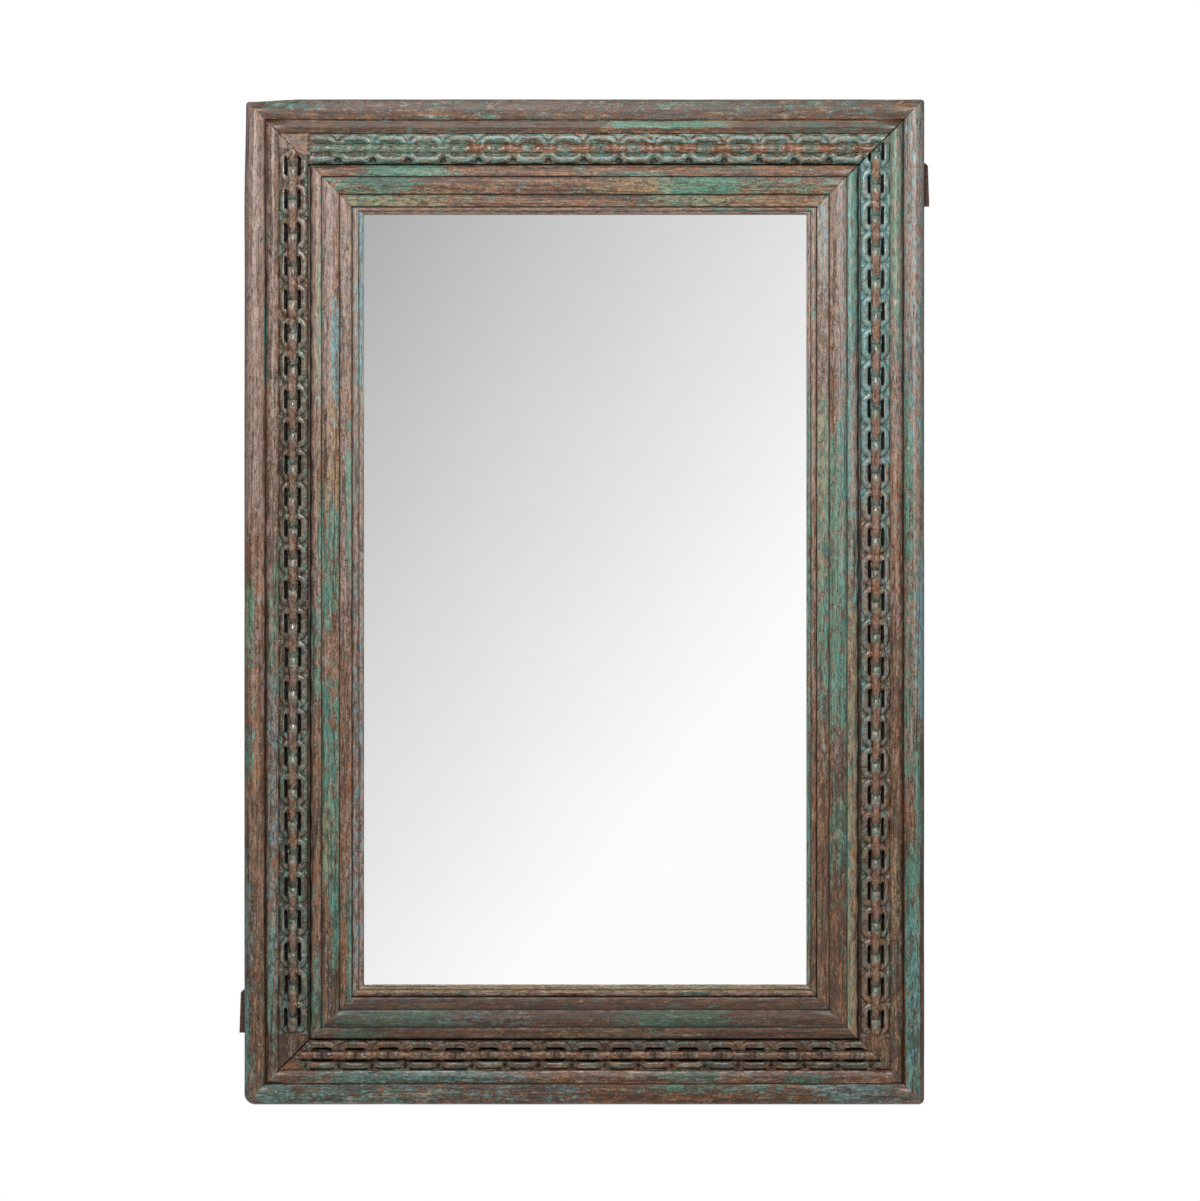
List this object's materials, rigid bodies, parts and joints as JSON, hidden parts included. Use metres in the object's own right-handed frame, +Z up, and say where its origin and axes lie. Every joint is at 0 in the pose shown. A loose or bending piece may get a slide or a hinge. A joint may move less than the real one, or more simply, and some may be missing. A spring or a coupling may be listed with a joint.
{
  "type": "jharokha wall mirror",
  "caption": "Rectangular wall mirror in a heavy mitred timber frame with a carved chain border, stepped mouldings, worn turquoise paint, back battens and hanging rings.",
  "frame": {"origin": "on the wall plane, at the middle of the frame's width and at mid-height of the upper batten's back", "axes": "+X to the right seen from the front, +Y back into the wall, so the mirror faces -Y, +Z up along the height"},
  "size_m": [0.804, 0.0652, 1.168],
  "materials": {
    "old_timber": "aged and worn, traces of turquoise paint",
    "carved_timber": "carved, worn turquoise paint in the hollows",
    "painted_timber": "chipped turquoise paint over brown wood",
    "slip_timber": "worn thin paint",
    "mirror": "silvered float glass",
    "ply": "plain plywood",
    "batten_timber": "sawn, dark",
    "tenon_timber": "planed",
    "pin_steel": "dull wire",
    "screw_steel": "zinc plated",
    "hanger_steel": "zinc plated"
  },
  "bodies": {
    "frame": {"back_batten_lower": "batten_timber", "back_batten_upper": "batten_timber", "backing_board": "ply", "batten_screws": "screw_steel", "board_screws": "screw_steel", "chain_pins": "pin_steel", "chain_strip_bottom": "carved_timber", "chain_strip_left": "carved_timber", "chain_strip_right": "carved_timber", "chain_strip_top": "carved_timber", "corner_tenon_bottom_left": "tenon_timber", "corner_tenon_bottom_right": "tenon_timber", "corner_tenon_top_left": "tenon_timber", "corner_tenon_top_right": "tenon_timber", "hanger_screws": "screw_steel", "hanger_strap_left": "hanger_steel", "hanger_strap_right": "hanger_steel", "inner_moulding_bottom": "painted_timber", "inner_moulding_left": "painted_timber", "inner_moulding_right": "painted_timber", "inner_moulding_top": "painted_timber", "mirror_glass": "mirror", "moulding_pins": "pin_steel", "outer_rail_bottom": "old_timber", "outer_rail_top": "old_timber", "outer_stile_left": "old_timber", "outer_stile_right": "old_timber", "sight_slip_bottom": "slip_timber", "sight_slip_left": "slip_timber", "sight_slip_right": "slip_timber", "sight_slip_top": "slip_timber"},
    "ring_left": {"hanger_ring_left": "hanger_steel"},
    "ring_right": {"hanger_ring_right": "hanger_steel"}
  },
  "joints": [
    {"name": "ring_left_swing", "type": "hinge", "parent": "frame", "child": "ring_left", "pos_m": [-0.334, -0.01505, -0.137], "axis": [1, 0, 0], "range_deg": [0, 180]},
    {"name": "ring_right_swing", "type": "hinge", "parent": "frame", "child": "ring_right", "pos_m": [0.334, -0.01505, -0.137], "axis": [1, 0, 0], "range_deg": [0, 180]}
  ]
}
